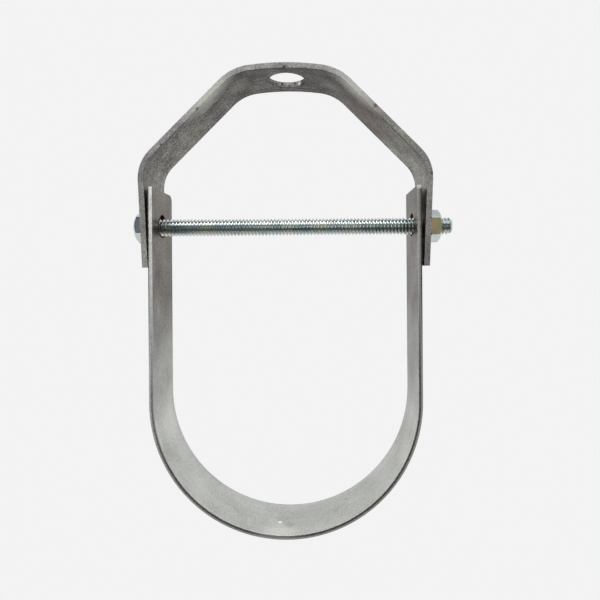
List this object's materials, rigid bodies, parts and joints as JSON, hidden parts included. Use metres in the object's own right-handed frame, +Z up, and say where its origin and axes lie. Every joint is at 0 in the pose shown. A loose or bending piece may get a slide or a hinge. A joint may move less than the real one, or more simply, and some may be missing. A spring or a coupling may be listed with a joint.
{
  "type": "clevis pipe hanger",
  "caption": "Clevis pipe hanger: a round-bottomed steel strap swings on a threaded cross bolt in a bent yoke that hangs on a rod.",
  "frame": {"origin": "centre of the rod hole, half way through the top of the yoke", "axes": "+Z up along the rod, +X along the cross bolt from its head to its nut, +Y along the pipe, away from the front"},
  "size_m": [0.1148, 0.0222, 0.1646],
  "materials": {
    "yoke_steel": "satin",
    "strap_steel": "satin",
    "zinc_hardware": "gloss"
  },
  "bodies": {
    "yoke": {"yoke": "yoke_steel"},
    "pipe_strap": {"pipe_strap": "strap_steel"},
    "cross_bolt": {"cross_bolt": "zinc_hardware"},
    "hex_nut": {"hex_nut": "zinc_hardware"}
  },
  "joints": [
    {"name": "strap_swing", "type": "hinge", "parent": "yoke", "child": "pipe_strap", "pos_m": [0, 0, -0.05485], "axis": [1, 0, 0], "range_deg": [-122, 122]},
    {"name": "bolt_turn", "type": "hinge", "parent": "yoke", "child": "cross_bolt", "pos_m": [0, 0, -0.05485], "axis": [1, 0, 0], "range_deg": [-2160, 0]},
    {"name": "nut_travel", "type": "slide", "parent": "yoke", "child": "hex_nut", "axis": [1, 0, 0], "range_m": [0, 0.00763]}
  ],
  "couplings": [
    {"joint": "nut_travel", "follows": "bolt_turn", "m_per_rad": -0.00020212}
  ]
}
